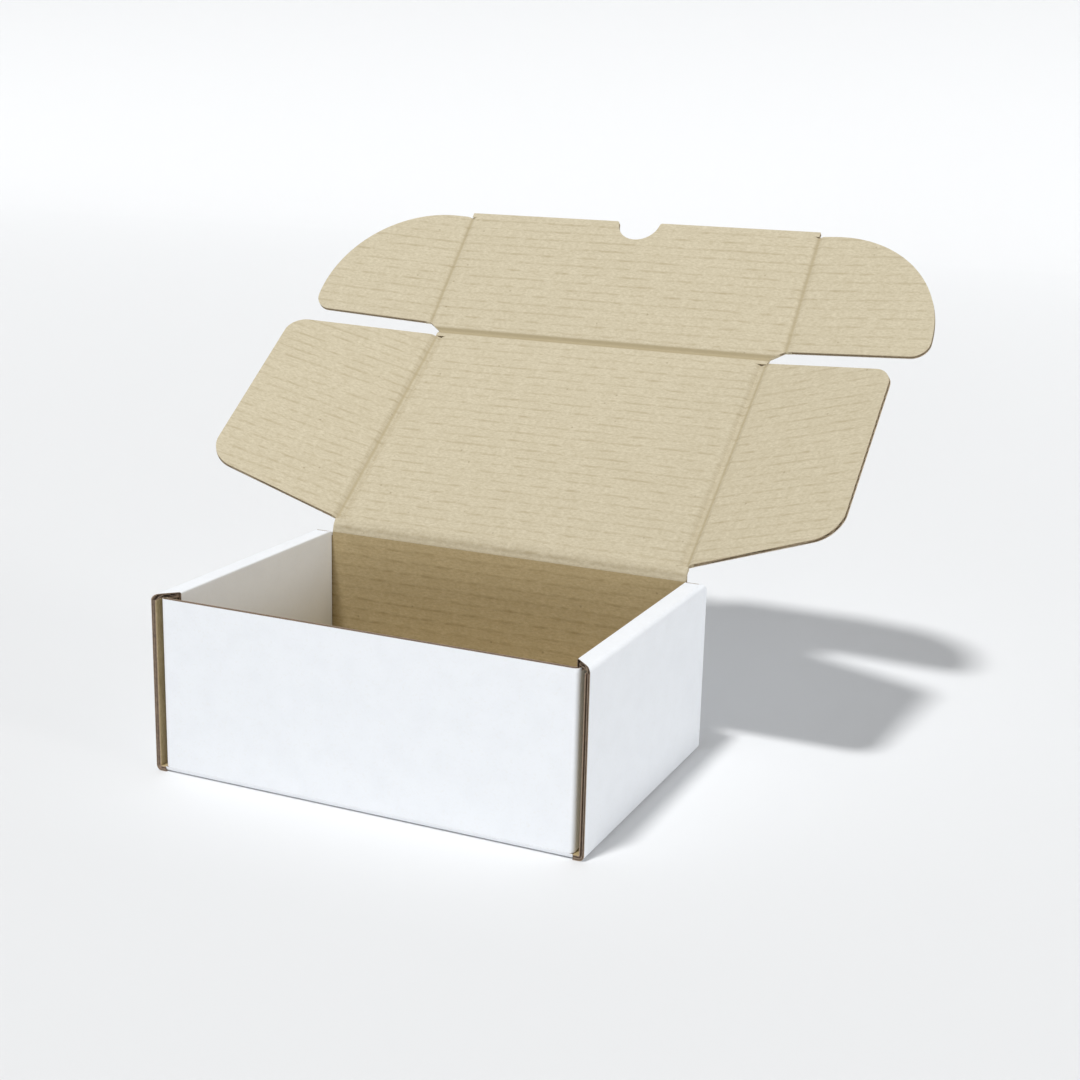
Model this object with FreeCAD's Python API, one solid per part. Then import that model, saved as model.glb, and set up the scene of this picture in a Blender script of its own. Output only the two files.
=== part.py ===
import FreeCAD, Part
import math
import os
from FreeCAD import Vector

# Corrugated mailer box with its lid open. Millimetres, Z up, front wall towards -Y.
# The origin is the middle of the underside, where the box stands.

# Board and folds
board = 2.5            # thickness of the corrugated board
fold_radius = 0.3      # inside radius of a closed fold
ply_gap = 0.1          # between two layers of board that lie together
edge_gap = 0.2         # between a cut edge and what it stands against
ear_play = 0.3         # spare room for an ear in its slot
hinge_gap = 0.3        # between the two bevelled edges of a crease

# Tray
tray_length = 230.0    # outside, along X
tray_depth = 153.0     # outside, along Y
tray_height = 90.5     # floor to the top of the rolled side walls
front_height = 89.2
corner_flap_reach = 62.0
corner_flap_drop = 0.5     # below the roof of the rolled side wall
corner_flap_taper = 5.0
corner_relief = 3.0        # floor to the lower end of a wall's upright fold
roll_front_cut = 10.0      # the roll's inner edge starts this far behind the front
roll_back_cut = 1.3
inner_wall_back_cut = 0.8  # between an inner side wall and the back wall
tab_length = 32.0
tab_spacing = 78.0

# Lid and its flaps
lid_gap = 0.2          # closed lid above the rolled side walls
lid_side_gap = 0.3     # closed lid to the inner side walls
front_play = 0.2       # closed tuck flap to the front wall
band_width = 3.0       # crushed band at a dust flap's crease
band_board = 1.2
band_bevel = 20.0      # degrees
flap_bevel = 45.0
dust_reach = 84.5
dust_root_start = 3.0      # lid hinge to the dust flap's rear edge
dust_root_play = 0.3       # dust flap to the front wall when tucked in
dust_rear_slope = 6.9      # degrees
dust_front_slope = 15.7
dust_rear_radius = 16.0
dust_front_radius = 13.5
tuck_height = 90.8
notch_radius = 13.2
notch_lip_radius = 1.5
ear_reach = 80.5
ear_foot = 5.4         # tuck crease to the ear's lower edge
ear_step = 3.3         # free edge of the tuck flap to the ear's upper edge
ear_round = 70.5
ear_heel_radius = 10.0
ear_side_play = 0.15   # folded ear to the outer side wall

# How far each flap is folded as the box stands open, in degrees
lid_lean = 53.0
dust_fold = 19.5
tuck_fold = 10.0
ear_fold = 4.5

# Places that follow from the sizes
outer_radius = fold_radius + board
half_length = tray_length / 2
half_depth = tray_depth / 2
corner_out = half_length - 2 * board - ear_play
corner_in = corner_out - board
wall_out = corner_in - ply_gap
wall_in = wall_out - board
wall_span = corner_out - fold_radius
roof = tray_height - board
corner_top = roof - corner_flap_drop
hinge_z = tray_height + lid_gap + board
lid_half = wall_in - lid_side_gap
band_axis = lid_half - band_width
lid_length = tray_depth + front_play + board
dust_root_end = tray_depth - board - dust_root_play
ear_axis = half_length - board - ear_side_play
ear_top = tuck_height - ear_step

along_x = Vector(1, 0, 0)
along_y = Vector(0, 1, 0)
along_z = Vector(0, 0, 1)
sides = {"right": 1, "left": -1}


def prism(points, push):
    """Solid swept along the vector push from a flat polygon."""
    return Part.Face(Part.makePolygon(points + points[:1])).extrude(push)


def block(x, y, z):
    """Solid box between two places on each axis."""
    low = Vector(min(x), min(y), min(z))
    return Part.makeBox(abs(x[1] - x[0]), abs(y[1] - y[0]), abs(z[1] - z[0]), low)


def folded_sheet(path, place, push):
    """Board folded along a path of its outer face, with 90 degree left turns.
    place(u, v) puts a point of the path in space."""
    def spot(point):
        return place(point.x, point.y)

    points = [Vector(u, v, 0) for u, v in path]
    steps = [(b - a).normalize() for a, b in zip(points, points[1:])]
    edges = []
    for depth, radius in ((0, outer_radius), (board, fold_radius)):
        start = points[0] + along_z.cross(steps[0]) * depth
        for tip, before, after in zip(points[1:-1], steps, steps[1:]):
            centre = tip + (after - before) * outer_radius
            first = centre - after * radius
            middle = centre + (before - after).normalize() * radius
            last = centre + before * radius
            edges.append(Part.makeLine(spot(start), spot(first)))
            edges.append(Part.Arc(spot(first), spot(middle), spot(last)).toShape())
            start = last
        end = points[-1] + along_z.cross(steps[-1]) * depth
        edges.append(Part.makeLine(spot(start), spot(end)))
    for tip, step in ((points[0], steps[0]), (points[-1], steps[-1])):
        edges.append(Part.makeLine(spot(tip), spot(tip + along_z.cross(step) * board)))
    wire = Part.Wire(Part.__sortEdges__(edges))
    return Part.Face(wire).extrude(push)


def panel(outline, thickness):
    """Flat board of the lid as it stands upright, outer face to the back, from
    an outline of (x, height above the lid hinge, corner radius)."""
    tips = [Vector(x, half_depth, hinge_z + z) for x, z, _ in outline]
    edges, ends = [], []
    for i, (_, _, radius) in enumerate(outline):
        tip = tips[i]
        to_last = (tips[i - 1] - tip).normalize()
        to_next = (tips[(i + 1) % len(tips)] - tip).normalize()
        half_angle = to_last.getAngle(to_next) / 2
        first = tip + to_last * (radius / math.tan(half_angle))
        last = tip + to_next * (radius / math.tan(half_angle))
        if radius > 0:
            axis = (to_last + to_next).normalize()
            middle = tip + axis * (radius / math.sin(half_angle) - radius)
            edges.append(Part.Arc(first, middle, last).toShape())
        ends.append((first, last))
    for (_, last), (first, _) in zip(ends, ends[1:] + ends[:1]):
        edges.append(Part.makeLine(last, first))
    wire = Part.Wire(Part.__sortEdges__(edges))
    return Part.Face(wire).extrude(along_y * -thickness)


def bevel(start, end, into, angle, inward=along_y * -1):
    """Cutter for a panel's crease edge. The outer face keeps its crease line, but
    for half the hinge gap, and the inner face leans back by angle."""
    gap = into * (hinge_gap / 2 / math.cos(math.radians(angle)))
    over = 2 * board
    lean = into * (over * math.tan(math.radians(angle)))
    corners = [
        start - into * over - inward, start + gap - inward, start + gap,
        start + gap + lean + inward * over, start - into * over + inward * over,
    ]
    return prism(corners, end - start)


def crease(x, z):
    """Point of a crease on the outer face of the upright lid."""
    return Vector(x, half_depth, hinge_z + z)


def make_roll():
    """Floor, outer side walls, rolled tops and inner side walls, as one strip."""
    foot = board + edge_gap
    path = [
        (-wall_in, foot), (-wall_in, tray_height), (-half_length, tray_height),
        (-half_length, 0), (half_length, 0), (half_length, tray_height),
        (wall_in, tray_height), (wall_in, foot),
    ]
    roll = folded_sheet(path, lambda u, v: Vector(u, -half_depth, v), along_y * tray_depth)
    slant_out = half_length - outer_radius
    past = wall_in - ply_gap
    low = board + edge_gap / 2
    front = roll_front_cut - half_depth
    back = half_depth - board - inner_wall_back_cut
    for side in sides.values():
        # The top is cut slanting at both ends, and the inner wall square
        front_cut = [
            (slant_out, -tray_depth), (slant_out, -half_depth), (wall_out, front),
            (past, front), (past, -tray_depth),
        ]
        back_cut = [
            (slant_out, tray_depth), (slant_out, half_depth),
            (past, half_depth - roll_back_cut), (past, tray_depth),
        ]
        for cut in (front_cut, back_cut):
            points = [Vector(side * x, y, low) for x, y in cut]
            roll = roll.cut(prism(points, along_z * tray_height))
        wall = (side * past, side * (wall_out + ply_gap / 2))
        roll = roll.cut(block(wall, (back, tray_depth), (low, tray_height - outer_radius)))
        # Tabs of the inner wall stand in slots through the floor
        for middle in (-tab_spacing / 2, tab_spacing / 2):
            tab = (middle - tab_length / 2, middle + tab_length / 2)
            slot = (tab[0] - edge_gap, tab[1] + edge_gap)
            slot_x = (side * (wall_in - edge_gap), side * (wall_out + edge_gap))
            roll = roll.cut(block(slot_x, slot, (-board, board)))
            roll = roll.fuse(block((side * wall_in, side * wall_out), tab, (edge_gap, foot)))
    return roll


def make_walls():
    """Front and back walls, folded up from the floor, and their corner flaps."""
    path = [(-half_depth, front_height), (-half_depth, 0), (half_depth, 0), (half_depth, corner_top)]
    walls = folded_sheet(path, lambda u, v: Vector(-wall_span, u, v), along_x * (2 * wall_span))
    leg = half_depth - outer_radius - fold_radius
    for end, top in ((-1, front_height), (1, corner_top)):
        path = [
            (end * corner_out, end * leg), (end * corner_out, end * half_depth),
            (-end * corner_out, end * half_depth), (-end * corner_out, end * leg),
        ]
        upright = folded_sheet(path, lambda u, v: Vector(u, v, corner_relief), along_z * (top - corner_relief))
        walls = walls.fuse(upright)
        root, tip = end * leg, end * (half_depth - corner_flap_reach)
        outline = [
            (root, corner_relief), (tip, corner_relief + corner_flap_taper),
            (tip, corner_top - corner_flap_taper), (root, corner_top),
        ]
        for side in sides.values():
            points = [Vector(side * corner_in, y, z) for y, z in outline]
            walls = walls.fuse(prism(points, along_x * (side * board)))
    # Only the lid's width of the back wall rises to the lid hinge
    rise = block((-lid_half, lid_half), (half_depth - board, half_depth), (corner_top - board, hinge_z))
    ends = [Vector(x, half_depth, hinge_z) for x in (-half_length, half_length)]
    return walls.fuse(rise).cut(bevel(*ends, along_z * -1, flap_bevel))


def make_lid():
    """Lid panel, with a recess on each side for a dust flap's crease band."""
    low, high = dust_root_start - edge_gap, dust_root_end + edge_gap
    edge = [
        (lid_half, 0, 0), (lid_half, low, 0), (band_axis, low, 0),
        (band_axis, high, 0), (lid_half, high, 0), (lid_half, lid_length, 0),
    ]
    outline = edge + [(-x, z, r) for x, z, r in reversed(edge)]
    lid = panel(outline, board)
    lid = lid.cut(bevel(crease(-half_length, 0), crease(half_length, 0), along_z, flap_bevel))
    far = [crease(x, lid_length) for x in (-half_length, half_length)]
    lid = lid.cut(bevel(*far, along_z * -1, flap_bevel))
    for side in sides.values():
        ends = [crease(side * band_axis, z) for z in (low, high)]
        lid = lid.cut(bevel(*ends, along_x * -side, band_bevel))
    return lid


def make_band(side):
    """Crushed band of board that joins a dust flap to the lid."""
    outline = [
        (side * x, z, 0)
        for x, z in (
            (band_axis, dust_root_start), (lid_half, dust_root_start),
            (lid_half, dust_root_end), (band_axis, dust_root_end),
        )
    ]
    band = panel(outline, band_board)
    for x, into, angle in ((band_axis, side, band_bevel), (lid_half, -side, flap_bevel)):
        ends = [crease(side * x, z) for z in (0, lid_length)]
        band = band.cut(bevel(*ends, along_x * into, angle))
    return band


def make_dust_flap(side):
    """Side flap of the lid that tucks inside the tray."""
    tip = lid_half + dust_reach
    rear = dust_root_start + dust_reach * math.tan(math.radians(dust_rear_slope))
    front = dust_root_end - dust_reach * math.tan(math.radians(dust_front_slope))
    outline = [
        (side * lid_half, dust_root_start, 0), (side * tip, rear, dust_rear_radius),
        (side * tip, front, dust_front_radius), (side * lid_half, dust_root_end, 0),
    ]
    flap = panel(outline, board)
    ends = [crease(side * lid_half, z) for z in (0, lid_length)]
    return flap.cut(bevel(*ends, along_x * side, flap_bevel))


def make_tuck_flap():
    """Front flap of the lid, with a round thumb notch in its free edge."""
    top = lid_length + tuck_height
    half = [(lid_half, lid_length, 0), (ear_axis, lid_length + ear_foot, 0), (ear_axis, top, 0)]
    flap = panel(half + [(-x, z, r) for x, z, r in reversed(half)], board)
    cutter = Part.makeCylinder(notch_radius, 2 * board, crease(0, top) + along_y * board / 2, along_y * -1)
    flap = flap.cut(cutter)
    lips = [
        e for e in flap.Edges
        if abs(abs(e.CenterOfMass.x) - notch_radius) < 1e-6 and abs(e.tangentAt(e.FirstParameter).y) > 0.99
    ]
    flap = flap.makeFillet(notch_lip_radius, lips)
    ends = [crease(x, lid_length) for x in (-half_length, half_length)]
    flap = flap.cut(bevel(*ends, along_z, flap_bevel))
    for side in sides.values():
        ends = [crease(side * ear_axis, z) for z in (lid_length, top + board)]
        flap = flap.cut(bevel(*ends, along_x * -side, flap_bevel))
    return flap


def make_ear(side):
    """End flap of the tuck flap, which slides into a slot of the side wall."""
    tip = ear_axis + ear_reach
    low, high = lid_length + ear_foot, lid_length + ear_top
    outline = [
        (side * ear_axis, low, 0), (side * tip, low, ear_heel_radius),
        (side * tip, high, ear_round), (side * ear_axis, high, 0),
    ]
    ear = panel(outline, board)
    ends = [crease(side * ear_axis, z) for z in (lid_length, lid_length + tuck_height)]
    return ear.cut(bevel(*ends, along_x * side, flap_bevel))


def open_out(parts):
    """Fold every flap of the upright lid to where it stands in the open box."""
    for name, side in sides.items():
        ear = parts[name + "_ear"]
        ear.rotate(crease(side * ear_axis, 0), along_z, -side * ear_fold)
        for piece in ("_crease_band", "_dust_flap"):
            parts[name + piece].rotate(crease(side * band_axis, 0), along_z, -side * dust_fold)
    for name in ("tuck_flap", "right_ear", "left_ear"):
        parts[name].rotate(crease(0, lid_length), along_x, tuck_fold)
    for shape in parts.values():
        shape.rotate(crease(0, 0), along_x, -lid_lean)


lid_parts = {"lid_panel": make_lid(), "tuck_flap": make_tuck_flap()}
for name, side in sides.items():
    lid_parts[name + "_crease_band"] = make_band(side)
    lid_parts[name + "_dust_flap"] = make_dust_flap(side)
    lid_parts[name + "_ear"] = make_ear(side)
open_out(lid_parts)

parts = {"tray": make_roll().fuse(make_walls()).removeSplitter()}
parts.update(lid_parts)

os.makedirs("parts", exist_ok=True)
total = 0
for name, shape in parts.items():
    solids = shape.Solids
    total += shape.Volume
    print(name, len(solids), "solid", shape.isValid(), round(shape.Volume, 1))
    whole = solids[0] if len(solids) == 1 else Part.makeCompound(solids)
    whole.exportStep("parts/" + name + ".step")
print("volume", round(total, 1))
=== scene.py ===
import math
import bpy
from mathutils import Matrix, Vector


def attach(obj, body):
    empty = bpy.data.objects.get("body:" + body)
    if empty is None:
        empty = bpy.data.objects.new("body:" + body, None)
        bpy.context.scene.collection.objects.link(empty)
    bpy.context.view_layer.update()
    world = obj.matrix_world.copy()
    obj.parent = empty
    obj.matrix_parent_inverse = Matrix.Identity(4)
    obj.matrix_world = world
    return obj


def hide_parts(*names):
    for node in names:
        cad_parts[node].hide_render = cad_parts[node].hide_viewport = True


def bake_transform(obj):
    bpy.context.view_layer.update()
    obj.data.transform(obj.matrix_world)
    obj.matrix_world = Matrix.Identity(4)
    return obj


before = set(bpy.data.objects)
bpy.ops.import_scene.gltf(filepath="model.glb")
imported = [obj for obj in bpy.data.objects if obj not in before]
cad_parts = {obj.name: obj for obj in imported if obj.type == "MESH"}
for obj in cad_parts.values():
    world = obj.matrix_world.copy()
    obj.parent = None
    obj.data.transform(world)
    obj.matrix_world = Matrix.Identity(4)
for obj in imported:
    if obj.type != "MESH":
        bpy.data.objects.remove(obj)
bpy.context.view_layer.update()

scene = bpy.context.scene

# Metres, in the frame of the part. The board is laid out flat first, as it is cut:
# X along the flutes, Y across them, Z from the white face (0) to the kraft face.
stock = {
    "thickness": 0.0025, "linerPaper": 0.00042, "flutePaper": 0.00024, "fluteGap": 0.00002,
    "flutePitch": 0.0062, "fluteSteps": 12, "fluteHalf": 0.21, "foldRadius": 0.0003, "foldSteps": 6,
}
box = {
    "length": 0.230, "depth": 0.153, "height": 0.0905, "frontHeight": 0.0892,
    "hinge": 0.0932, "lidHalf": 0.1043, "lidLength": 0.1557, "bandAxis": 0.1013,
    "earAxis": 0.11235,
}
openAngles = {"lid": -53.0, "dust": 19.5, "tuck": 10.0, "ear": 4.5}
# Cutters reach past the board: to x and y on either side of the middle, up to z, and
# from below to above a board that lies flat
cutRoom = {"x": 0.12, "y": 0.09, "z": 0.1, "below": -0.001, "above": 0.004}
# Points closer than this are one place, and folds sharper than this angle keep their edge
near = 1e-6
smoothAngle = 32

thickness = stock["thickness"]
halfDepth = box["depth"] / 2
outerRadius = stock["foldRadius"] + thickness


def activate(obj):
    if bpy.context.mode != "OBJECT":
        bpy.ops.object.mode_set(mode="OBJECT")
    bpy.ops.object.select_all(action="DESELECT")
    obj.select_set(True)
    bpy.context.view_layer.objects.active = obj


def pick(obj, kind, test):
    # Edit mode with only the vertices, edges or faces selected that pass the test
    activate(obj)
    bpy.ops.object.mode_set(mode="EDIT")
    bpy.ops.mesh.select_mode(type=kind)
    bpy.ops.mesh.select_all(action="DESELECT")
    bpy.ops.object.mode_set(mode="OBJECT")
    items = {"VERT": obj.data.vertices, "EDGE": obj.data.edges, "FACE": obj.data.polygons}[kind]
    for item in items:
        item.select = test(item)
    bpy.ops.object.mode_set(mode="EDIT")


def leaveEdit():
    bpy.ops.object.mode_set(mode="OBJECT")


def applyPlace():
    bpy.ops.object.transform_apply(location=True, rotation=True, scale=True)


def runModifier(obj, kind, **settings):
    activate(obj)
    modifier = obj.modifiers.new(kind.title(), kind)
    for name, value in settings.items():
        setattr(modifier, name, value)
    bpy.ops.object.modifier_apply(modifier=modifier.name)


def copyOf(obj, name):
    activate(obj)
    bpy.ops.object.duplicate()
    twin = bpy.context.active_object
    twin.name = twin.data.name = name
    return twin


def discard(*objs):
    for obj in objs:
        bpy.data.objects.remove(obj)


def turn(obj, degrees, axis, centre):
    # Without a window the operator turns the other way
    activate(obj)
    bpy.ops.transform.rotate(
        value=-math.radians(degrees), orient_axis=axis, orient_type="GLOBAL",
        center_override=centre)
    applyPlace()


def slab(name, low, high):
    centre = [(a + b) / 2 for a, b in zip(low, high)]
    bpy.ops.mesh.primitive_cube_add(
        size=1, location=centre, scale=[b - a for a, b in zip(low, high)])
    obj = bpy.context.active_object
    obj.name = obj.data.name = name
    applyPlace()
    return obj


def cylinder(name, radius, length, centre, sides, rotation=(0, 0, 0)):
    bpy.ops.mesh.primitive_cylinder_add(
        vertices=sides, radius=radius, depth=length, rotation=rotation, location=centre)
    obj = bpy.context.active_object
    obj.name = obj.data.name = name
    applyPlace()
    return obj


def flatGrid(name, low, high, z, rows):
    bpy.ops.mesh.primitive_grid_add(
        x_subdivisions=1, y_subdivisions=rows, size=1,
        location=((low[0] + high[0]) / 2, (low[1] + high[1]) / 2, z))
    obj = bpy.context.active_object
    obj.name = obj.data.name = name
    obj.scale = (high[0] - low[0], high[1] - low[1], 1)
    applyPlace()
    return obj


def sliceOff(obj, point, normal):
    # Everything on the side that the normal points to goes
    pick(obj, "FACE", lambda face: True)
    bpy.ops.mesh.bisect(
        plane_co=point, plane_no=Vector(normal).normalized(), use_fill=True, clear_outer=True,
        threshold=near)
    leaveEdit()


def roundCorner(obj, x, y, run, segments):
    points = [v.co.copy() for v in obj.data.vertices]

    def atCorner(edge):
        return all(math.hypot(points[i].x - x, points[i].y - y) < 10 * near for i in edge.vertices)

    pick(obj, "EDGE", atCorner)
    bpy.ops.mesh.bevel(
        offset=run, offset_type="OFFSET", segments=segments, profile=0.5, affect="EDGES")
    leaveEdit()


def addSlots(obj, *slots):
    obj.data.materials.clear()
    for material in slots:
        obj.data.materials.append(material)


def cutWith(obj, cutter, operation="DIFFERENCE", keep=False):
    # Faces that the cutter makes take the third material, the cut edge
    addSlots(cutter, *obj.data.materials)
    for face in cutter.data.polygons:
        face.material_index = 2
    runModifier(obj, "BOOLEAN", operation=operation, object=cutter, solver="EXACT")
    if not keep:
        discard(cutter)


def carve(obj, cutter):
    # For blanks and cutters, which have no materials yet
    runModifier(obj, "BOOLEAN", operation="DIFFERENCE", object=cutter, solver="EXACT")
    discard(cutter)


def joinAs(name, parts):
    activate(parts[0])
    for part in parts[1:]:
        part.select_set(True)
    if len(parts) > 1:
        bpy.ops.object.join()
    obj = bpy.context.active_object
    obj.name = obj.data.name = name
    return obj


def tidyNormals(obj):
    activate(obj)
    bpy.ops.object.mode_set(mode="EDIT")
    bpy.ops.mesh.select_all(action="SELECT")
    bpy.ops.mesh.remove_doubles(threshold=near)
    bpy.ops.mesh.normals_make_consistent(inside=False)
    leaveEdit()


def smoothFolds(obj):
    activate(obj)
    bpy.ops.object.shade_smooth_by_angle(angle=math.radians(smoothAngle))


def markSheet(obj, place):
    # Keeps each point's place on the flat sheet, for the paper's patterns
    attribute = obj.data.attributes.new("sheetPlace", "FLOAT_VECTOR", "POINT")
    for vertex, item in zip(obj.data.vertices, attribute.data):
        item.vector = place(vertex.co)


def srgb(code):
    def linear(c):
        return c / 12.92 if c <= 0.04045 else ((c + 0.055) / 1.055) ** 2.4

    return [linear(int(code[i:i + 2], 16) / 255) for i in (1, 3, 5)] + [1.0]


def addNode(tree, kind, inputs=None, links=None, **settings):
    node = tree.nodes.new(kind)
    for name, value in settings.items():
        setattr(node, name, value)
    for socket, value in (inputs or {}).items():
        node.inputs[socket].default_value = value
    for socket, source in (links or {}).items():
        tree.links.new(source, node.inputs[socket])
    return node


def newMaterial(name, roughness):
    material = bpy.data.materials.new(name)
    material.use_nodes = True
    tree = material.node_tree
    shader = tree.nodes["Principled BSDF"]
    shader.inputs["Roughness"].default_value = roughness
    return material, tree, shader


# Paper

kraftPaper = {
    "colour": "#CFC5AC", "line": "#A99B7C", "fibre": "#B5A98C", "speck": "#7D6B4E",
    "groove": "#A99B7A", "roughness": 0.85,
}
# Inside the tray the liner is painted browner and darker: painted shade, a shaded copy of the kraft
# liner that stands in for the light there, which has come off kraft already
shadedTrayPaper = {
    "colour": "#C3B18A", "line": "#97845A", "fibre": "#A9966D", "speck": "#6F5C3C",
    "groove": "#A99B7A", "roughness": 0.85,
}


def placeOnSheet(tree):
    return addNode(tree, "ShaderNodeAttribute", attribute_name="sheetPlace").outputs["Vector"]


def noise(tree, place, scale, detail, roughness=0.5):
    return addNode(
        tree, "ShaderNodeTexNoise", {"Scale": scale, "Detail": detail, "Roughness": roughness},
        {"Vector": place}).outputs["Fac"]


def stretched(tree, place, scales):
    return addNode(tree, "ShaderNodeMapping", {"Scale": scales}, {"Vector": place}).outputs[0]


def shareOf(tree, value, low, high, most=1.0):
    # Goes from 0 to most while the value goes from low to high
    return addNode(
        tree, "ShaderNodeMapRange", {"From Min": low, "From Max": high, "To Max": most},
        {"Value": value}).outputs[0]


def maths(tree, operation, first, second):
    # The second can be a socket or a number
    inputs, links = {}, {0: first}
    (inputs if isinstance(second, float) else links)[1] = second
    return addNode(tree, "ShaderNodeMath", inputs, links, operation=operation).outputs[0]


def fluteWave(tree, across):
    # 1 where a flute touches the kraft liner, and -1 where it touches the white one
    turns = maths(tree, "MULTIPLY", across, 2 * math.pi / stock["flutePitch"])
    return addNode(tree, "ShaderNodeMath", None, {0: turns}, operation="COSINE").outputs[0]


def addRelief(tree, shader, height, strength, distance):
    bump = addNode(
        tree, "ShaderNodeBump", {"Strength": strength, "Distance": distance}, {"Height": height})
    tree.links.new(bump.outputs[0], shader.inputs["Normal"])


def kraftLinerMaterial(name, paper):
    # Uncoated recycled test liner, machine made: matt and a little fibrous. The glued
    # flute tips show through it as broken darker lines, one to each flute.
    material, tree, shader = newMaterial(name, paper["roughness"])
    place = placeOnSheet(tree)
    axes = addNode(tree, "ShaderNodeSeparateXYZ", links={0: place})
    # The lines wander by up to 0.9 mm, over about 40 mm
    wander = maths(tree, "MULTIPLY", noise(tree, place, 25.0, 1.0), 0.0009)
    wave = fluteWave(tree, maths(tree, "ADD", axes.outputs["Y"], wander))
    # Each line is broken into dashes of about 5 to 15 mm
    dashes = noise(tree, stretched(tree, place, (100.0, 330.0, 1.0)), 1.0, 3.0, 0.6)
    lines = maths(
        tree, "MULTIPLY", shareOf(tree, wave, 0.5, 1.0), shareOf(tree, dashes, 0.4, 0.7, 0.75))
    # Fibre clouds of about 5 mm, and bundles of fibres of about 2.5 mm by 1 mm
    cloud = noise(tree, place, 190.0, 4.0, 0.65)
    fibre = noise(tree, stretched(tree, place, (420.0, 1000.0, 420.0)), 1.0, 3.0, 0.7)
    # Dark specks of recycled paper, about 1 mm wide and 12 mm apart
    speck = addNode(tree, "ShaderNodeTexVoronoi", {"Scale": 85.0}, {"Vector": place})
    layers = (
        (shareOf(tree, cloud, 0.35, 0.75, 0.45), "fibre"),
        (shareOf(tree, fibre, 0.38, 0.68, 0.75), "fibre"),
        (lines, "line"),
        # The crease is painted darker with its depth, the third coordinate: painted shade in its
        # groove, and partly the crushed paper's own colour
        (shareOf(tree, axes.outputs["Z"], 0.00245, 0.0014, 0.85), "groove"),
        (shareOf(tree, speck.outputs["Distance"], 0.07, 0.03, 0.4), "speck"),
    )
    colour = None
    for share, over in layers:
        mix = addNode(
            tree, "ShaderNodeMix", {"B": srgb(paper[over])}, {"Factor": share}, data_type="RGBA")
        if colour is None:
            mix.inputs["A"].default_value = srgb(paper["colour"])
        else:
            tree.links.new(colour, mix.inputs["A"])
        colour = mix.outputs["Result"]
    tree.links.new(colour, shader.inputs["Base Color"])
    # Washboarding of a few hundredths of a millimetre, and the fibres' own relief
    height = maths(tree, "ADD", wave, maths(tree, "MULTIPLY", fibre, 0.35))
    addRelief(tree, shader, height, 0.5, 0.00004)
    return material


whitePaper = {"colour": "#F0F3F7", "cloud": "#EDF0F4", "thin": "#E8E8E6", "roughness": 0.62}


def whiteLinerMaterial():
    # Clay-coated white top liner, calendered: smooth and nearly matt, a little cloudy where
    # the brown board shows through, with the flutes just visible under grazing light.
    material, tree, shader = newMaterial("whiteCoatedLiner", whitePaper["roughness"])
    place = placeOnSheet(tree)
    axes = addNode(tree, "ShaderNodeSeparateXYZ", links={0: place})
    wave = fluteWave(tree, axes.outputs["Y"])
    # Clouds of about 12 mm, and thin coating in grains of about 1 mm
    cloud = noise(tree, place, 80.0, 5.0, 0.6)
    grain = noise(tree, place, 1000.0, 3.0)
    clouded = addNode(
        tree, "ShaderNodeMix", {"A": srgb(whitePaper["colour"]), "B": srgb(whitePaper["cloud"])},
        {"Factor": shareOf(tree, cloud, 0.4, 0.7)}, data_type="RGBA")
    grained = addNode(
        tree, "ShaderNodeMix", {"B": srgb(whitePaper["thin"])},
        {"Factor": shareOf(tree, grain, 0.55, 0.8, 0.5), "A": clouded.outputs["Result"]},
        data_type="RGBA")
    tree.links.new(grained.outputs["Result"], shader.inputs["Base Color"])
    height = maths(tree, "ADD", wave, maths(tree, "MULTIPLY", grain, 0.4))
    addRelief(tree, shader, height, 0.35, 0.00002)
    return material


# Light and dark colour, and the scale of the grain: 1.4 mm on the flutes, 0.8 mm on the edges.
# The edges of the walls and rolls are darker: painted shade, for the shade in the tray's slots and on
# its cut edges.
rawPapers = {
    "flutingMedium": ("#BCA98C", "#9A876C", 700.0),
    "dieCutEdge": ("#D0C4A6", "#AFA084", 1200.0),
    "dieCutWhiteEdge": ("#EDE8DF", "#CFC6B6", 1200.0),
    "flutingMediumPaintedShade": ("#988470", "#74655A", 700.0),
    "cutEdgePaintedShade": ("#A08C78", "#7C6B5B", 1200.0),
}
rawRoughness = 0.9


def rawPaperMaterial(name):
    # Raw unsized paper, as fluted or as cut by the die: soft, brown and fibrous
    light, dark, scale = rawPapers[name]
    material, tree, shader = newMaterial(name, rawRoughness)
    grain = noise(tree, placeOnSheet(tree), scale, 4.0, 0.7)
    mix = addNode(
        tree, "ShaderNodeMix", {"A": srgb(light), "B": srgb(dark)},
        {"Factor": shareOf(tree, grain, 0.35, 0.7)}, data_type="RGBA")
    tree.links.new(mix.outputs["Result"], shader.inputs["Base Color"])
    addRelief(tree, shader, grain, 0.6, 0.00006)
    return material


kraftLiner = kraftLinerMaterial("kraftTestLiner", kraftPaper)
# The tray's liner is the painted-shade copy of the kraft liner
shadedTrayLiner = kraftLinerMaterial("kraftTestLinerInTray", shadedTrayPaper)
whiteLiner = whiteLinerMaterial()
# The tray's fluting and cut edges take the darker copies, which are painted shade
flutingPaper, cutPaper, cutWhite, shadedTrayFluting, shadedTrayCut = [
    rawPaperMaterial(name) for name in rawPapers]
whiteSlots = (whiteLiner, flutingPaper, cutWhite)
kraftSlots = (kraftLiner, flutingPaper, cutPaper)
fluteSlots = (flutingPaper, flutingPaper, flutingPaper)
trayWhiteSlots = (whiteLiner, shadedTrayFluting, shadedTrayCut)
traySlots = (shadedTrayLiner, shadedTrayFluting, shadedTrayCut)
trayFluteSlots = (shadedTrayFluting, shadedTrayFluting, shadedTrayFluting)
print("materials made")


# Board laid flat

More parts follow.
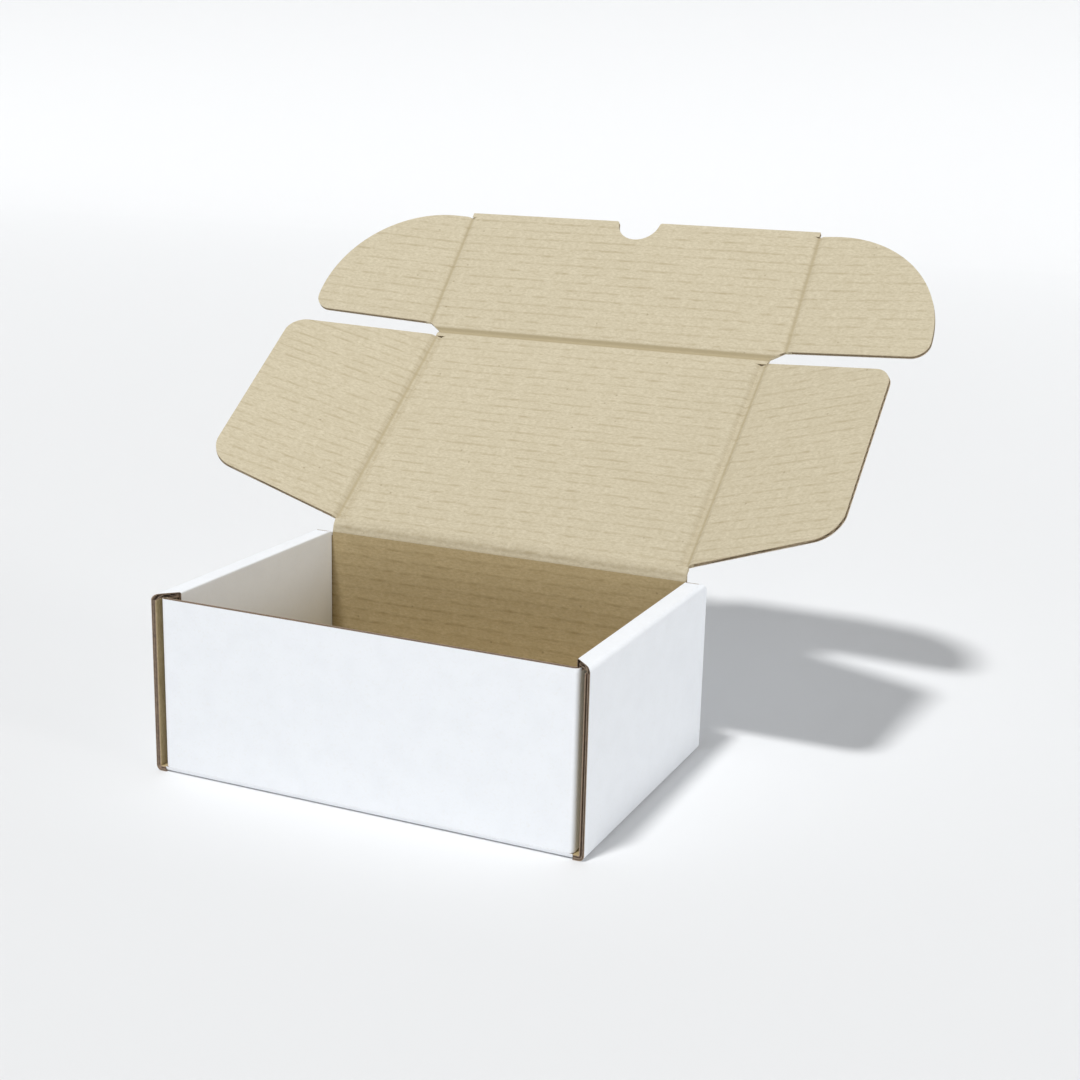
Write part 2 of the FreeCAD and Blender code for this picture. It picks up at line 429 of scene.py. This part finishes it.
def makeFlute():
    # One flute, shaped row by row; its crests stop just short of the liners
    pitch, steps, half = stock["flutePitch"], stock["fluteSteps"], stock["fluteHalf"]
    swing = thickness / 2 - stock["linerPaper"] - stock["flutePaper"] / 2 - stock["fluteGap"]
    flute = flatGrid("oneFlute", (-half, 0), (half, pitch), thickness / 2, steps)
    for row in range(steps + 1):
        y = row * pitch / steps
        pick(flute, "VERT", lambda vertex: abs(vertex.co.y - y) < near)
        bpy.ops.transform.translate(value=(0, 0, swing * math.cos(2 * math.pi * row / steps)))
        leaveEdit()
    return flute


oneFlute = makeFlute()


def repeatFlute(obj, count):
    runModifier(
        obj, "ARRAY", count=count, use_relative_offset=False, use_constant_offset=True,
        constant_offset_displace=(0, stock["flutePitch"], 0), use_merge_vertices=True,
        merge_threshold=10 * near)


def fluteLayer(name, blank):
    # The flutes of one flat panel, cut to the outline of its blank
    places = [vertex.co.y / stock["flutePitch"] for vertex in blank.data.vertices]
    first, last = math.floor(min(places)) - 1, math.ceil(max(places)) + 1
    layer = copyOf(oneFlute, name)
    repeatFlute(layer, last - first)
    layer.location = (0, first * stock["flutePitch"], 0)
    applyPlace()
    runModifier(layer, "SOLIDIFY", thickness=stock["flutePaper"], offset=0)
    addSlots(layer, *fluteSlots)
    cutWith(layer, blank, "INTERSECT", keep=True)
    return layer


def squeezed(blank, name, low, high):
    # A copy of the blank between two depths of the board
    layer = copyOf(blank, name)
    layer.location = (0, 0, low)
    layer.scale = (1, 1, (high - low) / thickness)
    applyPlace()
    return layer


def paintFlat(obj, slots, outwards):
    # First material on the face that looks outwards, second inside, third on the cut edges
    addSlots(obj, *slots)
    for face in obj.data.polygons:
        facing = face.normal.z * outwards
        face.material_index = 0 if facing > 0.3 else (1 if facing < -0.3 else 2)


def layBoard(name, blank):
    # White liner, flutes and kraft liner from a blank as thick as the board
    paper = stock["linerPaper"]
    white = squeezed(blank, name + "White", 0, paper)
    paintFlat(white, whiteSlots, -1)
    kraft = squeezed(blank, name + "Kraft", thickness - paper, thickness)
    paintFlat(kraft, kraftSlots, 1)
    flutes = fluteLayer(name + "Flutes", blank)
    discard(blank)
    board = joinAs(name, [white, kraft, flutes])
    markSheet(board, lambda p: p)
    return board


# Board folded up, swept along its fold path

def profileLine(name, x, z, half):
    # An edge along Y, left over from a narrow plane
    width = 0.001
    line = flatGrid(name, (x, -half), (x + width, half), z, 1)
    pick(line, "VERT", lambda vertex: vertex.co.x > x + width / 2)
    bpy.ops.mesh.delete(type="VERT")
    leaveEdit()
    return line


def profileFlutes(name, x, half):
    # The flutes' edge along Y, long enough to be cut to length later
    pitch = stock["flutePitch"]
    chain = copyOf(oneFlute, name)
    pick(chain, "VERT", lambda vertex: vertex.co.x > 0)
    bpy.ops.mesh.delete(type="VERT")
    leaveEdit()
    first = math.ceil(half / pitch)
    repeatFlute(chain, 2 * first)
    chain.location = (x + stock["fluteHalf"], -first * pitch, 0)
    applyPlace()
    return chain


def sweep(obj, path):
    pick(obj, "EDGE", lambda edge: True)
    for step in path:
        if step[0] == "go":
            bpy.ops.mesh.extrude_region_move(TRANSFORM_OT_translate={"value": step[1]})
        else:
            # The operator turns the other way round the axis
            centre, axis, degrees = step[1:]
            bpy.ops.mesh.spin(
                steps=stock["foldSteps"], angle=-math.radians(degrees), center=centre, axis=axis)
    leaveEdit()


def thicken(obj, slots, paper, centre, away):
    # The first material comes on the side that looks away from the centre, or towards it
    middle = Vector(centre)
    facing = sum((face.center - middle).dot(face.normal) * face.area for face in obj.data.polygons)
    if (facing > 0) != away:
        activate(obj)
        bpy.ops.object.mode_set(mode="EDIT")
        bpy.ops.mesh.select_all(action="SELECT")
        bpy.ops.mesh.flip_normals()
        leaveEdit()
    addSlots(obj, *slots)
    runModifier(obj, "SOLIDIFY", thickness=paper, offset=0, material_offset=1, material_offset_rim=2)


def foldBoard(name, profileX, half, place, path, centre, trim, whitePath=None):
    # The three layers of a folded board. place puts the profiles, which lie along Y with the
    # board's depth along Z, at the start of the path; trim holds the flutes to its width.
    # The white liner can have a path of its own, with tighter folds.
    paper = stock["linerPaper"]
    layers = []
    depths = {"White": paper / 2, "Kraft": thickness - paper / 2}
    for layer, depth in depths.items():
        obj = profileLine(name + layer, profileX, depth, half)
        place(obj)
        sweep(obj, whitePath if whitePath and layer == "White" else path)
        slots, away = (trayWhiteSlots, True) if layer == "White" else (traySlots, False)
        thicken(obj, slots, paper, centre, away)
        layers.append(obj)
    if trim:
        flutes = profileFlutes(name + "Flutes", profileX, half)
        place(flutes)
        sweep(flutes, path)
        thicken(flutes, trayFluteSlots, stock["flutePaper"], centre, True)
        room = slab(name + "Trim", *trim)
        cutWith(flutes, room, "INTERSECT")
        layers.append(flutes)
    return layers


def cutAll(layers, cutters):
    for cutter in cutters:
        for layer in layers:
            cutWith(layer, cutter, keep=True)
        discard(cutter)


def mirrored(obj, name):
    twin = copyOf(obj, name)
    twin.scale = (-1, 1, 1)
    applyPlace()
    tidyNormals(twin)
    if "sheetPlace" in twin.data.attributes:
        for item in twin.data.attributes["sheetPlace"].data:
            item.vector = (-item.vector[0], item.vector[1], item.vector[2])
    return twin


# Side walls: floor's edge, outer wall, rolled top and inner wall with its tabs

# Cutters overlap the layers by overlap, or reach beyond them
rollPlan = {
    "start": 0.1094, "outerCrisp": 0.0027, "innerCrisp": 0.0010, "wallIn": 0.1046, "low": 0.0026,
    "tabEnd": 0.0002, "tabShoulder": 0.0027, "backRound": 0.006, "roundSides": 48,
    "frontCut": 0.010, "backCut": 0.0013, "innerBackGap": 0.0008, "tabLength": 0.032,
    "tabSpacing": 0.078, "betweenWalls": (0.1098, 0, 0.045), "overlap": 0.0001, "beyond": 0.0005,
    "cornerMiss": 0.0004, "rounderLength": 0.03,
}


def makeSideRoll():
    r = outerRadius
    half = box["length"] / 2
    outer, top = half - r, box["height"]
    bend = top - r

    def path(outerTop, innerTop):
        # Through the folds at the bottom, at the top outside and at the top inside
        over, inner = half - outerTop, rollPlan["wallIn"] + innerTop
        return [
            ("go", (outer - rollPlan["start"], 0, 0)),
            ("fold", (outer, 0, r), (0, 1, 0), -90),
            ("go", (0, 0, top - outerTop - r)),
            ("fold", (over, 0, top - outerTop), (0, 1, 0), -90),
            ("go", (inner - over, 0, 0)),
            ("fold", (inner, 0, top - innerTop), (0, 1, 0), -90),
            ("go", (0, 0, rollPlan["tabEnd"] + innerTop - top)),
        ]

    trim = ((0, -halfDepth, cutRoom["below"]), (cutRoom["x"], halfDepth, cutRoom["z"]))
    layers = foldBoard(
        "sideRoll", rollPlan["start"], halfDepth, lambda obj: None, path(r, r),
        rollPlan["betweenWalls"], trim, path(rollPlan["outerCrisp"], rollPlan["innerCrisp"]))
    # The top is cut slanting at both ends, the inner wall square. The slanting side of the
    # top's own cutter misses that cutter's corner, where slicing would leave it open.
    overlap, beyond = rollPlan["overlap"], rollPlan["beyond"]
    wallOut = rollPlan["wallIn"] + thickness
    past, low = rollPlan["wallIn"] - overlap, rollPlan["low"]
    far, high = cutRoom["y"], cutRoom["z"]
    frontEnd = rollPlan["frontCut"] - halfDepth
    front = slab("rollFrontCut", (past, -far, low), (outer + beyond, frontEnd, bend + overlap))
    sliceOff(front, (outer, -halfDepth, 0), (halfDepth + frontEnd, outer - wallOut, 0))
    frontTop = slab("rollTopCut", (past, -far, bend), (half + beyond, frontEnd, high))
    across = half - past - rollPlan["cornerMiss"]
    sliceOff(frontTop, (half, -halfDepth, 0), (halfDepth + frontEnd, across, 0))
    backEnd = halfDepth - rollPlan["backCut"]
    back = slab("rollBackCut", (past, backEnd - beyond, low), (outer + beyond, far, high))
    sliceOff(back, (outer, halfDepth, 0), (rollPlan["backCut"], past - outer, 0))
    innerEnd = halfDepth - thickness - rollPlan["innerBackGap"]
    innerBack = slab("innerBackCut", (past, innerEnd, low), (wallOut + overlap / 2, far, bend))
    # The corner at the back of the top is rounded
    radius = rollPlan["backRound"]
    corner = slab(
        "backCorner", (past, halfDepth - radius, top - radius),
        (half + 2 * beyond, halfDepth + 2 * beyond, top + 2 * beyond))
    carve(corner, cylinder(
        "backRounder", radius, rollPlan["rounderLength"],
        (outer, halfDepth - radius, top - radius), rollPlan["roundSides"], (0, math.pi / 2, 0)))
    cutters = [front, frontTop, back, innerBack, corner]
    tab, spacing = rollPlan["tabLength"] / 2, rollPlan["tabSpacing"] / 2
    gaps = ((-far, -spacing - tab), (-spacing + tab, spacing - tab), (spacing + tab, far))
    for start, end in gaps:
        cutters.append(slab(
            "tabGap", (past, start, cutRoom["below"]),
            (wallOut + overlap, end, rollPlan["tabShoulder"])))
    cutAll(layers, cutters)
    board = joinAs("sideRollRight", layers)
    markSheet(board, lambda p: (p.z - abs(p.x), p.y, thickness))
    smoothFolds(board)
    return board


sideRolls = [makeSideRoll()]
sideRolls.append(mirrored(sideRolls[0], "sideRollLeft"))
print("side rolls made")

# Floor, with its folds up into the front and back walls, and slots for the tabs

floorPlan = {"half": 0.1094, "slotPlay": 0.0002, "insideTray": (0, 0, 0.02)}


def makeFloor():
    r = outerRadius
    reach = halfDepth - r

    def place(obj):
        # Profiles stand along X, at the top of the front fold
        obj.location = (0, 0, 0)
        turn(obj, -90, "Z", (0, 0, 0))
        turn(obj, 90, "X", (0, 0, 0))
        turn(obj, 180, "Z", (0, 0, 0))
        activate(obj)
        obj.location = (0, -halfDepth, r)
        applyPlace()

    path = [
        ("fold", (0, -reach, r), (1, 0, 0), 90),
        ("go", (0, 2 * reach, 0)),
        ("fold", (0, reach, r), (1, 0, 0), 90),
    ]
    # The flutes stop where the folds begin
    half, play = floorPlan["half"], floorPlan["slotPlay"]
    layers = foldBoard("floor", 0, half, place, path, floorPlan["insideTray"], None)
    blank = slab("floorBlank", (-half, -reach, 0), (half, reach, thickness))
    layers.append(fluteLayer("floorFlutes", blank))
    discard(blank)
    slots = []
    for side in (-1, 1):
        for middle in (-rollPlan["tabSpacing"] / 2, rollPlan["tabSpacing"] / 2):
            wallIn, tab = rollPlan["wallIn"], rollPlan["tabLength"] / 2
            x = sorted((side * (wallIn - play), side * (wallIn + thickness + play)))
            y = (middle - tab - play, middle + tab + play)
            slots.append(slab(
                "tabSlot", (x[0], y[0], cutRoom["below"]), (x[1], y[1], cutRoom["above"])))
    cutAll(layers, [joinAs("tabSlots", slots)])
    board = joinAs("trayFloor", layers)
    markSheet(board, lambda p: (p.x, p.y, thickness))
    smoothFolds(board)
    return board


trayFloor = makeFloor()
print("floor made")

# Front and back walls with their corner flaps

walls = {
    "cornerOut": 0.1097, "flapReach": 0.062, "flapTop": 0.0875, "flapFoot": 0.003,
    "flapTaper": 0.005, "flapRoot": 0.0734, "backTop": 0.0897, "insideTray": (0, -0.045, 0.045),
    "shoulderEnd": 0.07,
}


def makeWall(name, top, back):
    r = outerRadius
    cornerX, cornerY = walls["cornerOut"] - r, halfDepth - r
    tip = walls["flapReach"] - halfDepth
    height = top - r

    def place(obj):
        # Profiles stand upright at the tip of the left corner flap, white face outwards
        turn(obj, 90, "X", (0, 0, 0))
        turn(obj, 90, "Z", (0, 0, 0))
        activate(obj)
        obj.location = (-walls["cornerOut"], tip, r + height / 2)
        applyPlace()

    path = [
        ("go", (0, -cornerY - tip, 0)),
        ("fold", (-cornerX, -cornerY, 0), (0, 0, 1), 90),
        ("go", (2 * cornerX, 0, 0)),
        ("fold", (cornerX, -cornerY, 0), (0, 0, 1), 90),
        ("go", (0, cornerY + tip, 0)),
    ]
    far, high = cutRoom["x"], cutRoom["z"]
    trim = ((-far, -cutRoom["y"], r), (far, cutRoom["y"], top))
    layers = foldBoard(name, 0, height / 2, place, path, walls["insideTray"], trim)
    # Corner flaps taper towards their tips and stay below the rolled tops
    root, taper = -walls["flapRoot"], walls["flapTaper"]
    run = tip - root
    over = slab("flapTopCut", (-far, root, walls["flapTop"] - taper), (far, 0, high))
    sliceOff(over, (0, root, walls["flapTop"]), (0, -taper, -run))
    under = slab("flapFootCut", (-far, root, cutRoom["below"]), (far, 0, walls["flapFoot"] + taper))
    sliceOff(under, (0, root, walls["flapFoot"]), (0, -taper, run))
    cutters = [over, under]
    if back:
        for side in (-1, 1):
            x = sorted((side * box["lidHalf"], side * far))
            cutters.append(slab(
                "shoulder", (x[0], -cutRoom["y"], walls["flapTop"]),
                (x[1], -walls["shoulderEnd"], high)))
    cutAll(layers, cutters)
    board = joinAs(name, layers)
    if back:
        turn(board, 180, "Z", (0, 0, 0))
    way = 1 if back else -1
    markSheet(board, lambda p: (p.x, way * (halfDepth + p.z), thickness))
    smoothFolds(board)
    return board


frontWall = makeWall("frontWall", box["frontHeight"], False)
backWall = makeWall("backWall", walls["backTop"], True)
print("walls made")

# Lid and flaps, laid flat: X from the middle line, Y from the lid's hinge crease

lidBlank = {
    "creaseHalf": 0.0035, "hingeHalf": 0.0028, "rootStart": 0.003, "rootEnd": 0.1502,
    "cutPlay": 0.0002,
}


def makeLid():
    wide, narrow = box["lidHalf"], box["bandAxis"] - lidBlank["creaseHalf"]
    far = box["lidLength"] - lidBlank["creaseHalf"]
    blank = slab("lidBlank", (-wide, lidBlank["hingeHalf"], 0), (wide, far, thickness))
    for side in (-1, 1):
        x = sorted((side * narrow, side * cutRoom["x"]))
        carve(blank, slab(
            "creaseRoom", (x[0], 0, cutRoom["below"]),
            (x[1], lidBlank["rootEnd"] + lidBlank["cutPlay"], cutRoom["above"])))
    return layBoard("lidBoard", blank)


tuckBlank = {
    "height": 0.0908, "footRise": 0.0054, "earTop": 0.0875, "notchRadius": 0.0132,
    "lipRadius": 0.0015, "notchSides": 64, "lipSides": 32, "lipOverlap": 0.0004, "lipOver": 0.001,
    "cutterLength": 0.01,
}


def makeTuck():
    wide, foot = box["earAxis"], box["lidLength"]
    half = lidBlank["creaseHalf"]
    top = foot + tuckBlank["height"]
    low, high = cutRoom["below"], cutRoom["above"]
    blank = slab("tuckBlank", (-wide, foot + half, 0), (wide, top, thickness))
    rise, run = tuckBlank["footRise"], wide - box["lidHalf"]
    for side in (-1, 1):
        sliceOff(blank, (side * box["lidHalf"], foot, 0), (side * rise, -run, 0))
    lip, edge, length = tuckBlank["lipRadius"], tuckBlank["notchRadius"], tuckBlank["cutterLength"]
    for side in (-1, 1):
        x = sorted((side * (wide - half), side * cutRoom["x"]))
        carve(blank, slab(
            "earRoom", (x[0], foot + rise, low), (x[1], foot + tuckBlank["earTop"], high)))
        # What is left of a corner beside the notch once a round is taken from it
        x = sorted((side * (edge - tuckBlank["lipOverlap"]), side * (edge + lip)))
        corner = slab("notchLip", (x[0], top - lip, low), (x[1], top + tuckBlank["lipOver"], high))
        carve(corner, cylinder(
            "lipRounder", lip, length, (side * (edge + lip), top - lip, 0), tuckBlank["lipSides"]))
        carve(blank, corner)
    carve(blank, cylinder("notchCut", edge, length, (0, top, 0), tuckBlank["notchSides"]))
    return layBoard("tuckBoard", blank)


dustBlank = {
    "reach": 0.0845, "rearSlope": 6.9, "frontSlope": 15.7, "rearRadius": 0.016,
    "frontRadius": 0.0135, "cornerSegments": 14, "rawLength": 0.16,
}


def makeDustFlap():
    root = box["lidHalf"]
    tip = root + dustBlank["reach"]
    rear, front = math.radians(dustBlank["rearSlope"]), math.radians(dustBlank["frontSlope"])
    start, end = lidBlank["rootStart"], lidBlank["rootEnd"]
    blank = slab(
        "dustBlank", (root + lidBlank["creaseHalf"], 0, 0), (tip, dustBlank["rawLength"], thickness))
    sliceOff(blank, (root, start, 0), (math.sin(rear), -math.cos(rear), 0))
    sliceOff(blank, (root, end, 0), (math.sin(front), math.cos(front), 0))
    corners = (
        (start + dustBlank["reach"] * math.tan(rear), rear, dustBlank["rearRadius"]),
        (end - dustBlank["reach"] * math.tan(front), front, dustBlank["frontRadius"]),
    )
    for y, slope, radius in corners:
        run = radius / math.tan(math.pi / 4 + slope / 2)
        roundCorner(blank, tip, y, run, dustBlank["cornerSegments"])
    return layBoard("dustFlapRight", blank)


earBlank = {
    "reach": 0.0805, "heelRadius": 0.010, "roundRadius": 0.0705, "heelSegments": 12,
    "roundSegments": 36,
}


def makeEar():
    root = box["earAxis"]
    tip = root + earBlank["reach"]
    low, high = box["lidLength"] + tuckBlank["footRise"], box["lidLength"] + tuckBlank["earTop"]
    blank = slab("earBlank", (root + lidBlank["creaseHalf"], low, 0), (tip, high, thickness))
    roundCorner(blank, tip, low, earBlank["heelRadius"], earBlank["heelSegments"])
    roundCorner(blank, tip, high, earBlank["roundRadius"], earBlank["roundSegments"])
    return layBoard("earRight", blank)


lidBoard, tuckBoard, dustFlap, ear = makeLid(), makeTuck(), makeDustFlap(), makeEar()
print("flat boards made")

# Crushed creases, where the board bends. Each is laid along X, with its crease line at
# Y = 0 on the white face, and bent towards the kraft face. A crease's strip reaches across
# its line from one place to the other. The liner's groove colour, painted shade and partly the
# crushed paper's own colour, follows its depth, times show, and on the side creases it fades out over
# the width of line.

creases = {
    "hinge": {"depth": 0.0010, "from": -0.0035, "to": 0.0028, "bend": 0.0020},
    "tuck": {"depth": 0.0012, "from": -0.0035, "to": 0.0035, "bend": 0.0022, "show": 2.4},
    "ear": {
        "depth": 0.0010, "from": -0.0035, "to": 0.0035, "bend": 0.0020, "show": 0.9, "line": 0.0014},
    "press": {
        "depth": 0.0013, "from": -0.0035, "to": 0.0015, "bend": 0.0015, "show": 0.15, "line": 0.0020},
    "dust": {
        "depth": 0.0013, "from": -0.0015, "to": 0.0035, "bend": 0.0015, "show": 0.75, "line": 0.0010},
}
creaseRow = 0.0005


def creaseDip(kind, y):
    # How deep the kraft face is pressed in. The press and dust creases share a flat bottom.
    size = creases[kind]
    if (kind == "press" and y > 0) or (kind == "dust" and y < 0):
        return size["depth"]
    edge = size["to"] if y > 0 else -size["from"]
    return size["depth"] * (0.5 + 0.5 * math.cos(math.pi * min(1, abs(y) / edge)))


def makeCrease(kind, name, half, degrees, toSheet, endShift):
    size = creases[kind]
    length = size["to"] - size["from"]
    steps = round(length / creaseRow)
    strip = flatGrid(name, (-half, size["from"]), (half, size["to"]), 0, steps)
    pick(strip, "FACE", lambda face: True)
    bpy.ops.mesh.extrude_region_move(TRANSFORM_OT_translate={"value": (0, 0, thickness)})
    leaveEdit()
    tidyNormals(strip)
    rows = [size["from"] + length * i / steps for i in range(steps + 1)]
    members = [[v.index for v in strip.data.vertices if abs(v.co.y - y) < near] for y in rows]
    for y, indices in zip(rows, members):
        chosen = set(indices)
        pick(strip, "VERT", lambda vertex: vertex.index in chosen and vertex.co.z > thickness / 2)
        bpy.ops.transform.translate(value=(0, 0, -creaseDip(kind, y)))
        leaveEdit()
        for end in (-1, 1):
            shift = endShift(y, end)
            if shift:
                pick(strip, "VERT", lambda vertex: vertex.index in chosen and vertex.co.x * end > 0)
                bpy.ops.transform.translate(value=(shift, 0, 0))
                leaveEdit()
    addSlots(strip, whiteLiner, kraftLiner, cutPaper)
    for face in strip.data.polygons:
        face.material_index = 0 if face.normal.z < -0.5 else (1 if face.normal.z > 0.5 else 2)
    markSheet(strip, toSheet)
    for y, indices in zip(rows, members):
        share = min(1, max(0, 0.5 + 0.5 * y / size["bend"]))
        share = share * share * (3 - 2 * share)
        if share * degrees:
            chosen = set(indices)
            pick(strip, "VERT", lambda vertex: vertex.index in chosen)
            bpy.ops.transform.rotate(
                value=-math.radians(share * degrees), orient_axis="X", orient_type="GLOBAL",
                center_override=(0, 0, 0))
            leaveEdit()
    return strip


def noShift(y, end):
    return 0


def moved(obj, place):
    activate(obj)
    obj.location = place
    applyPlace()
    return obj


lidLength = box["lidLength"]
tuckSpread = (box["earAxis"] - box["lidHalf"]) / tuckBlank["footRise"]


def spreadEnds(y, end):
    return end * max(0, y) * tuckSpread


def grooveMark(z, share):
    # The depth that the paper's painted groove shade goes by, for a crease that shows more or less
    return thickness - share * (thickness - z)


hingeCrease = makeCrease(
    "hinge", "hingeCrease", box["lidHalf"], openAngles["lid"],
    lambda p: (p.x, p.y, thickness), noShift)
tuckCrease = moved(makeCrease(
    "tuck", "tuckCrease", box["lidHalf"], openAngles["tuck"],
    lambda p: (p.x, p.y + lidLength, grooveMark(p.z, creases["tuck"]["show"])), spreadEnds),
    (0, lidLength, 0))


def makeSideCrease(kind, name, axis, low, high, degrees, endShift=noShift):
    # The same strip, turned to run along Y on the right of the lid. Its pressed line is
    # narrower than the strip and shows on the kraft face as painted shade, and partly the crushed
    # paper's own colour.
    middle = (low + high) / 2
    size = creases[kind]

    def lineShare(y):
        return size["show"] * math.exp(-(y / size["line"]) ** 2)

    strip = makeCrease(
        kind, name, (high - low) / 2, degrees,
        lambda p: (axis + p.y, middle - p.x, grooveMark(p.z, lineShare(p.y))), endShift)
    turn(strip, -90, "Z", (0, 0, 0))
    return moved(strip, (axis, middle, 0))


def dustEnds(y, end):
    slope = dustBlank["rearSlope"] if end > 0 else dustBlank["frontSlope"]
    return -end * max(0, y) * math.tan(math.radians(slope))


pressCrease = makeSideCrease(
    "press", "pressCreaseRight", box["bandAxis"], lidBlank["rootStart"], lidBlank["rootEnd"],
    openAngles["dust"])
dustCrease = makeSideCrease(
    "dust", "dustCreaseRight", box["lidHalf"], lidBlank["rootStart"], lidBlank["rootEnd"],
    0, dustEnds)
earCrease = makeSideCrease(
    "ear", "earCreaseRight", box["earAxis"], lidLength + tuckBlank["footRise"],
    lidLength + tuckBlank["earTop"], openAngles["ear"])
print("creases made")

# Folded open

hingePoint = (0, halfDepth, box["hinge"])


def standUp(obj):
    # From flat to upright above the back wall, kraft face to the front
    turn(obj, 90, "X", (0, 0, 0))
    moved(obj, hingePoint)


def swingSide(obj, axis, degrees):
    turn(obj, -degrees, "Z", (axis, halfDepth, 0))


def swingTuck(obj):
    turn(obj, openAngles["tuck"], "X", (0, halfDepth, box["hinge"] + lidLength))


def leanLid(obj):
    turn(obj, openAngles["lid"], "X", hingePoint)


aboveHinge = (tuckCrease, lidBoard, tuckBoard, dustFlap, ear, pressCrease, dustCrease, earCrease)
for piece in (hingeCrease, *aboveHinge):
    standUp(piece)
swingSide(ear, box["earAxis"], openAngles["ear"])
for piece in (dustFlap, dustCrease):
    swingSide(piece, box["bandAxis"], openAngles["dust"])
for piece in (tuckBoard, ear, earCrease):
    swingTuck(piece)
for piece in aboveHinge:
    leanLid(piece)
for piece in (hingeCrease, tuckCrease, pressCrease, dustCrease, earCrease):
    smoothFolds(piece)
discard(oneFlute)


def onBothSides(*pieces):
    return {
        "right": pieces,
        "left": tuple(mirrored(piece, piece.name.replace("Right", "Left")) for piece in pieces)}


flaps = onBothSides(dustFlap, ear)
sideCreases = onBothSides(pressCrease, dustCrease, earCrease)
print("folded open")

# What each piece rides on

for piece in (*sideRolls, trayFloor, frontWall, backWall):
    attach(piece, "tray")
    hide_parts("tray")
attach(lidBoard, "lid")
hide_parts("lid_panel")
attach(tuckBoard, "tuck_flap")
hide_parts("tuck_flap")
for side, (dust, sideEar) in flaps.items():
    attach(dust, side + "_dust_flap")
    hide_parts(side + "_dust_flap")
    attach(sideEar, side + "_ear")
    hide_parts(side + "_ear")


def bendAcross(piece):
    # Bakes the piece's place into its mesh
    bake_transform(piece)


bendAcross(hingeCrease)
bendAcross(
    tuckCrease)
for side, sign in (("right", 1), ("left", -1)):
    press, dust, earFold = sideCreases[side]
    bendAcross(press)
    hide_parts(side + "_crease_band")
    bendAcross(
        dust)
    bendAcross(
        earFold)
for piece in [hingeCrease, tuckCrease, lidBoard, tuckBoard, *flaps["right"], *flaps["left"],
              *sideCreases["right"], *sideCreases["left"]]:
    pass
print("pieces placed on their bodies")

# Studio: a pale sheet that curves up behind the box

studio = {
    "colour": "#E4E5E6", "roughness": 0.95, "width": 36.0, "front": -18.0, "back": 3.0,
    "curve": 1.2, "height": 3.0, "curveSteps": 24,
}


def makeBackdrop():
    half = studio["width"] / 2
    sheet = flatGrid("backdrop", (-half, studio["front"]), (half, studio["back"]), 0, 1)
    points = [v.co.copy() for v in sheet.data.vertices]
    pick(sheet, "EDGE", lambda edge: all(points[i].y > 0 for i in edge.vertices))
    bpy.ops.mesh.spin(
        steps=studio["curveSteps"], angle=-math.radians(90),
        center=(0, studio["back"], studio["curve"]), axis=(1, 0, 0))
    bpy.ops.mesh.extrude_region_move(TRANSFORM_OT_translate={"value": (0, 0, studio["height"])})
    leaveEdit()
    tidyNormals(sheet)
    smoothFolds(sheet)
    material, tree, shader = newMaterial("backdropPaper", studio["roughness"])
    shader.inputs["Base Color"].default_value = srgb(studio["colour"])
    sheet.data.materials.append(material)
    return sheet


makeBackdrop()

# The key is high up to the front left; two faint low lamps lift the upright sides
lamps = {
    "key": {"place": (-0.35, -0.96, 2.82), "energy": 2.15, "angle": 7.0},
    "right": {"place": (2.95, -0.40, 0.47), "energy": 0.62, "angle": 12.0},
    "front": {"place": (0.40, -2.98, 0.24), "energy": 0.46, "angle": 12.0},
}
air = {"colour": "#FFFFFF", "strength": 0.34, "seen": 0.82}


def addLamp(name, spec):
    data = bpy.data.lights.new(name, "SUN")
    data.energy = spec["energy"]
    data.angle = math.radians(spec["angle"])
    lamp = bpy.data.objects.new(name, data)
    lamp.location = spec["place"]
    lamp.rotation_euler = (-Vector(spec["place"])).to_track_quat("-Z", "Y").to_euler()
    scene.collection.objects.link(lamp)


for name, spec in lamps.items():
    addLamp(name, spec)

world = bpy.data.worlds.new("studioAir")
world.use_nodes = True
scene.world = world
background = world.node_tree.nodes["Background"]
background.inputs["Color"].default_value = srgb(air["colour"])
# Seen directly, in a gloss or through something, the air is as pale as the floor
rays = addNode(world.node_tree, "ShaderNodeLightPath").outputs
direct = maths(world.node_tree, "MAXIMUM", rays["Is Camera Ray"], rays["Is Glossy Ray"])
seen = maths(world.node_tree, "MAXIMUM", direct, rays["Is Transmission Ray"])
strength = addNode(
    world.node_tree, "ShaderNodeMapRange", {"To Min": air["strength"], "To Max": air["seen"]},
    {"Value": seen})
world.node_tree.links.new(strength.outputs[0], background.inputs["Strength"])

# As fitted to the photo, whose focal length is in pixels
camera = {
    "place": (0.37755, -0.71962, 0.32718), "azimuth": 0.4207, "elevation": 0.2542, "roll": 0.025,
    "focal": 1705.04, "photoWidth": 1080, "sensor": 36,
}


def addCamera():
    az, el, roll = camera["azimuth"], camera["elevation"], camera["roll"]
    backwards = Vector((math.sin(az) * math.cos(el), -math.cos(az) * math.cos(el), math.sin(el)))
    right = Vector((math.cos(az), math.sin(az), 0))
    over = backwards.cross(right)
    rolledRight = right * math.cos(roll) + over * math.sin(roll)
    rolledUp = -right * math.sin(roll) + over * math.cos(roll)
    data = bpy.data.cameras.new("photoCamera")
    data.sensor_fit = "HORIZONTAL"
    data.sensor_width = camera["sensor"]
    data.lens = camera["focal"] / camera["photoWidth"] * camera["sensor"]
    obj = bpy.data.objects.new("photoCamera", data)
    turned = Matrix((rolledRight, rolledUp, backwards)).transposed().to_4x4()
    obj.matrix_world = Matrix.Translation(camera["place"]) @ turned
    scene.collection.objects.link(obj)
    scene.camera = obj


addCamera()
scene.view_settings.view_transform = "Standard"

print("done")
